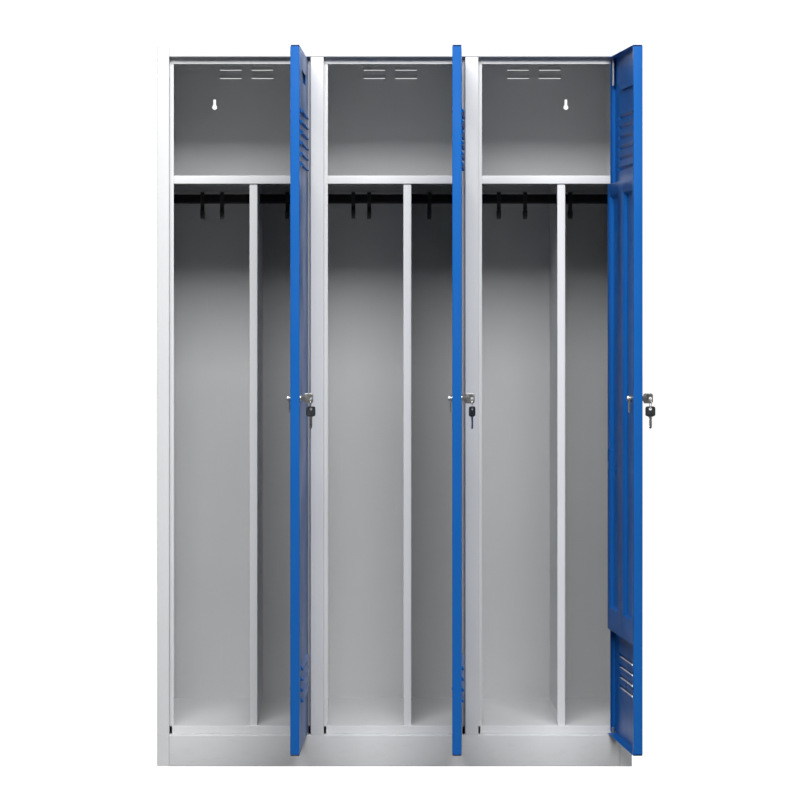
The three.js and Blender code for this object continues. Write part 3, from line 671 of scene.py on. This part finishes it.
def door_skin(k):
    """One pressed and folded sheet, drawn as a grid of quads and then given its thickness."""
    low, high = corners(f"door_skin_{k}")
    top, bottom = high.z - DOOR_HALF, low.z + DOOR_HALF
    half_length = LOUVRE["length"] / 2
    cleared = DOOR["pivot_in"] - DOOR["hinge_clear"]

    def evenly(first, last, count):
        return [first + (last - first) * n / count for n in range(count + 1)]

    face_x = {FREE + BEND * 2.2, HINGE - BEND * 2.2, LABEL["left"], LABEL["right"], cleared,
              LOCK["x"] - LOCK["opening"], LOCK["x"] + LOCK["opening"]}
    for sign in (-1, 1):
        edge = LOUVRE_MIDDLE + sign * half_length
        face_x |= set(evenly(edge, edge - sign * LOUVRE["end"], 5))
    face_x |= set(evenly(LOUVRE_MIDDLE - half_length + LOUVRE["end"],
                         LOUVRE_MIDDLE + half_length - LOUVRE["end"], 6))
    face_z = {bottom + BEND * 2.2, top - BEND * 2.2, LABEL["bottom"], LABEL["top"],
              LOCK["z"] - LOCK["opening"], LOCK["z"] + LOCK["opening"]}
    for start in LOUVRE_TOPS:
        face_z |= set(evenly(start, start - LOUVRE["height"], 6))
    face_z |= set(evenly(400 * MM, 1400 * MM, 5))

    def tidy(values):
        kept = []
        for value in sorted(values):
            if not kept or value - kept[-1] > 0.3 * MM:
                kept.append(value)
        return kept

    xs, zs = tidy(face_x), tidy(face_z)
    free_fold = [(FREE + d, depth) for d, depth in fold_steps(INNER - OUTER, DOOR["lip"] - DOOR_HALF)]
    hinge_depth = DOOR["hinge_flange"] - DOOR_SHEET
    hinge_fold = [(HINGE - d, depth) for d, depth in fold_steps(hinge_depth, DOOR["hinge_clear"] - DOOR_HALF)]
    columns = [(x, d) for x, d in reversed(free_fold)] + [(x, 0.0) for x in xs] + hinge_fold
    low_fold = [(bottom + d, depth) for d, depth in fold_steps(INNER - OUTER, 0)]
    high_fold = [(top - d, depth) for d, depth in fold_steps(INNER - OUTER, 0)]
    rows = [(z, d) for z, d in reversed(low_fold)] + [(z, 0.0) for z in zs] + high_fold
    first_x, last_x = len(free_fold), len(free_fold) + len(xs) - 1
    first_z, last_z = len(low_fold), len(low_fold) + len(zs) - 1

    def pressed(x, z):
        """How far the sheet is pressed out at a point of the face."""
        along_x = half_length - abs(x - LOUVRE_MIDDLE)
        if along_x <= 0:
            return 0.0
        end = min(1.0, along_x / LOUVRE["end"])
        shape = math.sqrt(1 - (1 - end) ** 2)
        for start in LOUVRE_TOPS:
            down = (start - z) / LOUVRE["height"]
            if 0 < down <= 1 + 1e-6:
                return LOUVRE["out"] * shape * math.sin(min(1.0, down) * math.pi / 2)
        return 0.0

    def is_slit(z):
        return any(abs(z - (start - LOUVRE["height"])) < 0.1 * MM for start in LOUVRE_TOPS)

    vertices, index = [], {}

    def vertex(i, j, above):
        x, depth_x = columns[i]
        z, depth_z = rows[j]
        out = pressed(x, z) if first_x <= i <= last_x and first_z <= j <= last_z else 0.0
        split = out > 0.05 * MM and is_slit(z)
        if split and not above:
            out = 0.0
        key = (i, j, above if split else None)
        if key not in index:
            index[key] = len(vertices)
            vertices.append((x, OUTER + depth_x + depth_z - out, z))
        return index[key]

    def is_open(x, z):
        label = LABEL["left"] < x < LABEL["right"] and LABEL["bottom"] < z < LABEL["top"]
        lock = abs(x - LOCK["x"]) < LOCK["opening"] and abs(z - LOCK["z"]) < LOCK["opening"]
        return label or lock

    faces = []
    for i in range(len(columns) - 1):
        for j in range(len(rows) - 1):
            on_side = i < first_x or i >= last_x
            on_end = j < first_z or j >= last_z
            if on_side and on_end:
                continue
            x, z = (columns[i][0] + columns[i + 1][0]) / 2, (rows[j][0] + rows[j + 1][0]) / 2
            if not on_side and not on_end and is_open(x, z):
                continue
            depth = max(rows[j][1], rows[j + 1][1])
            if on_end and x > cleared and depth > hinge_depth:
                continue
            faces.append((vertex(i, j, True), vertex(i + 1, j, True), vertex(i + 1, j + 1, False),
                          vertex(i, j + 1, False)))
    piece = finish_piece(f"door_{k}_skin", vertices, faces, BLUE, f"door_{k}",
                         place=door_place(k), thick=DOOR_SHEET, sharp=38)
    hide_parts(f"door_skin_{k}")


STIFFENER = {"left": -321 * MM, "right": 3 * MM, "bottom": 344 * MM, "top": 1452 * MM}
FLUTE = {"middles": (-83 * MM, -259 * MM), "width": 112 * MM, "bottom": 397 * MM, "top": 1425 * MM,
         "depth": 9.6 * MM, "slope": 9 * MM}


def door_stiffener(k):
    """The sheet welded across the inside of the door, with two flutes pressed towards the skin."""
    left, right = STIFFENER["left"], STIFFENER["right"]
    bottom, top = STIFFENER["bottom"], STIFFENER["top"]
    steps = 7

    def ease(t):
        t = max(0.0, min(1.0, t))
        return t * t * (3 - 2 * t)

    def depth(x, z):
        for middle in FLUTE["middles"]:
            side = FLUTE["width"] / 2 - abs(x - middle)
            end = min(z - FLUTE["bottom"], FLUTE["top"] - z)
            inset = min(side, end)
            if inset > 0:
                return FLUTE["depth"] * ease(inset / FLUTE["slope"])
        return 0.0

    xs = {left, right, LOCK["x"] - LOCK["opening"], LOCK["x"] + LOCK["opening"]}
    for middle in FLUTE["middles"]:
        for sign in (-1, 1):
            edge = middle + sign * FLUTE["width"] / 2
            xs |= {edge - sign * FLUTE["slope"] * n / steps for n in range(steps + 1)}
    zs = {bottom, top, LOCK["z"] - LOCK["opening"], LOCK["z"] + LOCK["opening"]}
    for edge, sign in ((FLUTE["bottom"], 1), (FLUTE["top"], -1)):
        zs |= {edge + sign * FLUTE["slope"] * n / steps for n in range(steps + 1)}
    zs |= {600 * MM, 800 * MM, 1100 * MM, 1300 * MM}
    xs, zs = sorted(xs), sorted(zs)
    rim = 5 * MM
    columns = [(left, rim)] + [(x, 0.0) for x in xs] + [(right, rim)]
    rows = [(bottom, rim)] + [(z, 0.0) for z in zs] + [(top, rim)]
    vertices = []
    for x, back_x in columns:
        for z, back_z in rows:
            vertices.append((x, INNER - depth(x, z) - max(back_x, back_z), z))
    count = len(rows)
    faces = []
    for i in range(len(columns) - 1):
        for j in range(count - 1):
            x, z = (columns[i][0] + columns[i + 1][0]) / 2, (rows[j][0] + rows[j + 1][0]) / 2
            corner = i in (0, len(columns) - 2) and j in (0, count - 2)
            lock = abs(x - LOCK["x"]) < LOCK["opening"] and abs(z - LOCK["z"]) < LOCK["opening"]
            if not corner and not lock:
                faces.append((i * count + j, (i + 1) * count + j, (i + 1) * count + j + 1, i * count + j + 1))
    piece = finish_piece(f"door_{k}_stiffener", vertices, faces, BLUE, f"door_{k}",
                         place=door_place(k), thick=DOOR_SHEET)
    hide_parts(f"door_stiffener_{k}")


def label_pocket(k):
    """A thin empty pocket behind the label window."""
    place = door_place(k)
    left, right = LABEL["left"] - 7 * MM, LABEL["right"] + 7 * MM
    bottom, top = LABEL["bottom"] - 9 * MM, LABEL["top"] + 12 * MM
    skin = OUTER + 1.3 * MM
    section = [(left - 6 * MM, skin), (left, skin), (left + 1.5 * MM, skin + 4.5 * MM),
               (right - 1.5 * MM, skin + 4.5 * MM), (right, skin), (right + 6 * MM, skin)]
    folded(f"label_pocket_{k}", section, (bottom, top), upright, BLUE, f"door_{k}",
           radius=0.9 * MM, matrix=place)


def buffers(k):
    """Small rubber buttons on the door's free-edge lip, which meet the door stop."""
    place = door_place(k)
    for n, z in enumerate((240 * MM, 1610 * MM)):
        base = INNER + DOOR_HALF
        profile = [(0.0001 * MM, base - 0.2 * MM), (4 * MM, base - 0.2 * MM), (4 * MM, base + 0.2 * MM),
                   (3.4 * MM, base + 0.7 * MM), (0.0001 * MM, base + 0.8 * MM)]
        spot = Matrix.Translation((FREE + 6 * MM, 0, z)) @ Matrix.Rotation(-math.pi / 2, 4, "X")
        lathe(f"buffer_{k}_{n + 1}", profile, place @ spot, RUBBER, f"door_{k}", sides=20)


def hinge_pins(k):
    for end in ("upper", "lower"):
        node = f"{end}_hinge_pin_{k}"
        low, high = corners(node)
        radius = (high.x - low.x) / 2
        ease = 0.8 * MM
        profile = [(0.0001 * MM, low.z), (radius - ease, low.z), (radius, low.z + ease),
                   (radius, high.z - ease), (radius - ease, high.z), (0.0001 * MM, high.z)]
        spot = Matrix.Translation(((low.x + high.x) / 2, (low.y + high.y) / 2, 0))
        pin = lathe(f"{end}_pin_{k}", profile, spot, PIN_STEEL, f"door_{k}", sides=28)
        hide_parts(node)


# ---------------------------------------------------------------- locks and keys

RIM_FRONT = -DOOR["pivot_back"] - 2.8 * MM
CAM = {"y": 17 * MM, "thick": 2.5 * MM, "width": 14 * MM, "reach": 34 * MM}
BOW = {"half": 12 * MM, "corner": 5 * MM, "y": -27 * MM, "hole_y": -33 * MM, "hole": 3.6 * MM,
       "hole_in": 6 * MM, "thick": 2 * MM}
RING = {"radius": 12.5 * MM, "wire": 0.5 * MM}
SPARE_TWIST = [30, 55, 0]  # how far each spare key is turned round the vertical


def lock_axis(k):
    """The lock's own frame: Z runs along its axis, inwards, from the pins' plane."""
    spot = Matrix.Translation((LOCK["x"], 0, LOCK["z"])) @ Matrix.Rotation(-math.pi / 2, 4, "X")
    return door_place(k) @ spot


def lock_barrel(k):
    front, skin, rear = RIM_FRONT, -DOOR["pivot_back"] - 0.2 * MM, INNER + DOOR_HALF + 1.5 * MM
    bore, body, rim = 6.3 * MM, 9 * MM, 11 * MM
    profile = [(bore, front), (rim - 1.6 * MM, front), (rim - 0.4 * MM, front + 0.7 * MM),
               (rim, front + 1.6 * MM), (rim, skin), (body, skin),
               (body, rear - 0.6 * MM), (body - 0.6 * MM, rear), (bore, rear)]
    piece = lathe(f"lock_barrel_{k}_body", profile, lock_axis(k), NICKEL, f"door_{k}", sides=48)
    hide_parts(f"lock_barrel_{k}")
    # A flat hexagon nut holds the barrel against the stiffener's flute.
    seat = INNER - FLUTE["depth"] + DOOR_HALF + 0.1 * MM
    outline = arc((0, 0), 13.5 * MM, 0, 300, 5)
    hole = arc((0, 0), 9.15 * MM, 0, 350, 35)
    nut = lock_axis(k) @ Matrix.Translation((0, 0, seat + 2.5 * MM))
    cut_plate(f"lock_nut_{k}", outline, [hole], 2.5 * MM, 0.4 * MM, nut, NICKEL, f"door_{k}")


def lock_cam(k):
    """The plug, the cam on its end and the nut that holds it."""
    axis = lock_axis(k)
    body = f"lock_{k}"
    front, rear = RIM_FRONT + 0.2 * MM, CAM["y"] + 0.2 * MM
    slot = (3 * MM, 8.5 * MM)
    mouth = [(-slot[0] / 2, -slot[1] / 2), (slot[0] / 2, -slot[1] / 2), (slot[0] / 2, slot[1] / 2),
             (-slot[0] / 2, slot[1] / 2)]
    plug_outline = arc((0, 0), 6 * MM, 0, 352.5, 47)
    depth = 20 * MM
    shell = axis @ Matrix.Translation((0, 0, front + depth / 2))
    plug = cut_plate(f"lock_plug_{k}", plug_outline, [mouth], depth / 2, 0.35 * MM, shell, NICKEL, body)
    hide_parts(f"lock_cam_{k}")
    tail = [(0.0001 * MM, front + depth - 0.5 * MM), (5.6 * MM, front + depth - 0.5 * MM), (5.6 * MM, rear),
            (0.0001 * MM, rear)]
    lathe(f"lock_tail_{k}", tail, axis, NICKEL, body, sides=32)
    half = CAM["width"] / 2
    tip = CAM["reach"] - half
    outline = cam_outline(half, tip)
    spot = axis @ Matrix.Translation((0, 0, CAM["y"] + CAM["thick"] / 2))
    cut_plate(f"lock_cam_{k}_plate", outline, [], CAM["thick"] / 2, 0.35 * MM, spot, NICKEL, body)
    nut_outline = arc((0, 0), 6.5 * MM, 0, 300, 5)
    nut = axis @ Matrix.Translation((0, 0, CAM["y"] + CAM["thick"] + 1.95 * MM))
    cut_plate(f"lock_cam_nut_{k}", nut_outline, [], 1.9 * MM, 0.35 * MM, nut, PIN_STEEL, body)


def cam_outline(half, tip):
    """The cam hangs down from the plug at rest: the lock frame's Y axis points down."""
    return arc((0, tip), half, 0, 180, 14) + arc((0, 0), half, 180, 360, 14)


def bow_outline(half):
    """A flat key bow: a square with round corners, from the lower right corner and up."""
    inset = half - BOW["corner"]
    head = []
    for n, (x, y) in enumerate(((1, -1), (1, 1), (-1, 1), (-1, -1))):
        head += arc((x * inset, y * inset), BOW["corner"], 90 * n - 90, 90 * n, 6)
    return head


def key_outline(radius, neck, blade, cuts):
    """The outline of a whole key, bow up. The blade hangs below, with cuts along one side."""
    head = bow_outline(radius)
    half = neck / 2
    low = -radius
    outline = [p for p in head if p[1] > low * 0.86]
    shoulder = low - 2.5 * MM
    left = [(-half - 2.2 * MM, low * 0.97), (-half - 2.2 * MM, shoulder), (-half, shoulder)]
    tip = low - blade
    left += [(-half, tip + half), (0, tip)]
    step = (blade - 2.5 * MM - half - 1 * MM) / (len(cuts) * 2)
    right = [(half, tip + half)]
    z = tip + half + step
    for depth in cuts:
        right += [(half - depth, z), (half - depth, z + step * 0.5), (half, z + step)]
        z += step * 1.8
    right += [(half, shoulder), (half + 2.2 * MM, shoulder), (half + 2.2 * MM, low * 0.97)]
    return outline + left + right


CUTS = [(1.2, 2.0, 0.8, 1.6), (0.9, 1.5, 2.1, 1.0), (1.8, 0.9, 1.3, 2.1)]


def door_key(k):
    """The key in the lock. Its bow stands upright, outside the door."""
    cuts = [c * MM for c in CUTS[k - 1]]
    blade = -BOW["y"] + RIM_FRONT - BOW["half"] + 17.5 * MM
    outline = key_outline(BOW["half"], 7.4 * MM, blade, cuts)
    offset = BOW["y"] - BOW["hole_y"]
    hole = [(x, y + offset) for x, y in arc((0, 0), BOW["hole"], 0, 345, 23)]
    stand = Matrix(((0, 0, 1, LOCK["x"]), (0, -1, 0, BOW["y"]), (1, 0, 0, LOCK["z"]), (0, 0, 0, 1)))
    piece = cut_plate(f"door_key_{k}", outline, [hole], BOW["thick"] / 2, 0.25 * MM, door_place(k) @ stand,
                      NICKEL, f"lock_{k}")
    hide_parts(f"key_{k}")


def key_ring(k):
    """A split ring: the wire goes twice round, side by side."""
    centre = Vector((LOCK["x"], BOW["hole_y"], LOCK["z"] - RING["radius"]))
    points = []
    turns, steps = 1.94, 88
    for n in range(steps + 1):
        angle = 2 * math.pi * turns * n / steps + 0.6
        shift = (n / steps - 0.5) * 1.0 * MM
        aside, up = RING["radius"] * math.sin(angle), RING["radius"] * math.cos(angle)
        points.append(centre + Vector((aside, shift, up)))
    ring = tube_along(f"split_ring_{k}", points, RING["wire"], NICKEL, f"lock_{k}",
                      matrix=door_place(k))
    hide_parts(f"key_ring_{k}")


def spare_key(k):
    """The spare key hangs from the ring. Its bow has a black cap."""
    low, _ = corners(f"spare_key_{k}")
    hang = Vector((LOCK["x"], BOW["hole_y"], LOCK["z"] - 2 * RING["radius"]))
    twist = math.radians(SPARE_TWIST[k - 1])
    drop = BOW["half"] - BOW["hole_in"]
    cuts = [c * MM for c in reversed(CUTS[k - 1])]
    blade = hang.z - drop - BOW["half"] - low.z
    outline = key_outline(BOW["half"] - 1.2 * MM, 7 * MM, blade + 1.2 * MM, cuts)
    hole = [(x, y + drop) for x, y in arc((0, 0), BOW["hole"], 0, 345, 23)]
    stand = Matrix(((0, 0, 1, 0), (1, 0, 0, 0), (0, 1, 0, -drop), (0, 0, 0, 1)))
    place = door_place(k) @ Matrix.Translation(hang) @ Matrix.Rotation(twist, 4, "Z") @ stand
    key = cut_plate(f"spare_key_{k}_blade", outline, [hole], 0.8 * MM, 0.2 * MM, place, NICKEL, f"spare_{k}")
    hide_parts(f"spare_key_{k}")
    cap = bow_outline(BOW["half"])
    cap = [p for p in cap if p[1] > -BOW["half"] * 0.92]
    cap += [(-6.5 * MM, -BOW["half"]), (6.5 * MM, -BOW["half"])]
    cut_plate(f"spare_key_{k}_cap", cap, [hole], 1.5 * MM, 0.6 * MM, place, KEY_CAP, f"spare_{k}")


# ---------------------------------------------------------------- CAD pieces that stay

def dress_carried_over():
    kept = ["left_side_panel", "right_side_panel", "partition_1", "partition_2"]
    kept += [f"back_panel_{k}" for k in COMPARTMENTS]
    for name in kept:
        data = frame["nodes"][name].data
        data.materials.clear()
        data.materials.append(GREY)


# ---------------------------------------------------------------- build it

dress_carried_over()
side_post("left_post", -1)
side_post("right_post", 1)
middle_post("middle_post_1")
middle_post("middle_post_2")
top_rail()
top_panel()
plinth()
floor_panel()
for number in COMPARTMENTS:
    back_seams(number)
    hat_shelf(number)
    divider(number)
    coat_rail(number)
    for hook in (1, 2, 3):
        coat_hook(number, hook)
    door_skin(number)
    door_stiffener(number)
    label_pocket(number)
    buffers(number)
    hinge_pins(number)
    lock_barrel(number)
    lock_cam(number)
    door_key(number)
    key_ring(number)
    spare_key(number)


# ---------------------------------------------------------------- floor, light and camera

FLOOR_TONE = (0.2, 0.2, 0.2, 1)
FLOOR_GLOW = 1.0  # what the camera sees of the floor's own light
ROOM_LIGHT = 0.02  # the room's own light on the locker
ROOM_SEEN = 1.1  # the room as the camera sees it


def seen_only(tree):
    """1 for what the camera looks at directly, and 0 for light on its way round the studio."""
    return tree.nodes.new("ShaderNodeLightPath").outputs["Is Camera Ray"]


def studio():
    """A plain white floor in a plain white room that gives only a little light of its own."""
    ground = bpy.data.meshes.new("studio_floor")
    reach = 40
    ground.from_pydata([(-reach, -reach, 0), (reach, -reach, 0), (reach, reach, 0), (-reach, reach, 0)], [],
                       [(0, 1, 2, 3)])
    floor = bpy.data.objects.new("studio_floor", ground)
    bpy.context.scene.collection.objects.link(floor)
    material, tree, shader = node_material("studio_floor")
    shader.inputs["Base Color"].default_value = FLOOR_TONE
    shader.inputs["Roughness"].default_value = 0.9
    shader.inputs["Specular IOR Level"].default_value = 0.1
    shader.inputs["Emission Color"].default_value = (1, 1, 1, 1)
    glow = tree.nodes.new("ShaderNodeMath")
    glow.operation = "MULTIPLY"
    glow.inputs[1].default_value = FLOOR_GLOW
    tree.links.new(seen_only(tree), glow.inputs[0])
    tree.links.new(glow.outputs["Value"], shader.inputs["Emission Strength"])
    ground.materials.append(material)
    world = bpy.data.worlds.new("studio")
    world.use_nodes = True
    tree = world.node_tree
    background = tree.nodes["Background"]
    background.inputs["Color"].default_value = (1, 1, 1, 1)
    strength = tree.nodes.new("ShaderNodeMapRange")
    strength.inputs["To Min"].default_value = ROOM_LIGHT
    strength.inputs["To Max"].default_value = ROOM_SEEN
    tree.links.new(seen_only(tree), strength.inputs["Value"])
    tree.links.new(strength.outputs["Result"], background.inputs["Strength"])
    bpy.context.scene.world = world
    bpy.context.scene.view_settings.view_transform = "Standard"


def area_light(name, power, size, place, target):
    data = bpy.data.lights.new(name, "AREA")
    data.shape = "RECTANGLE"
    data.size, data.size_y = size
    data.energy = power
    light = bpy.data.objects.new(name, data)
    light.location = place
    light.rotation_euler = (Vector(target) - Vector(place)).to_track_quat("-Z", "Y").to_euler()
    bpy.context.scene.collection.objects.link(light)


def camera():
    data = bpy.data.cameras.new("camera")
    data.sensor_width = 36
    data.lens = 117.2
    data.shift_x = 0.081
    data.shift_y = -0.110
    data.clip_end = 100
    view = bpy.data.objects.new("camera", data)
    view.location = (-0.148, FRONT - 6.5, 1.134)
    view.rotation_euler = (math.pi / 2, 0, 0)
    bpy.context.scene.collection.objects.link(view)
    bpy.context.scene.camera = view


studio()
area_light("broad_soft", 265, (3.4, 1.5), (0, -3.0, 3.5), (0, 0, 0.9))
for side in (-1, 1):
    area_light(f"rear_soft_{side}", 90, (1.5, 1.5), (3.0 * side, 2.6, 2.6), (0, 0.3, 0.9))
camera()

bpy.context.view_layer.update()
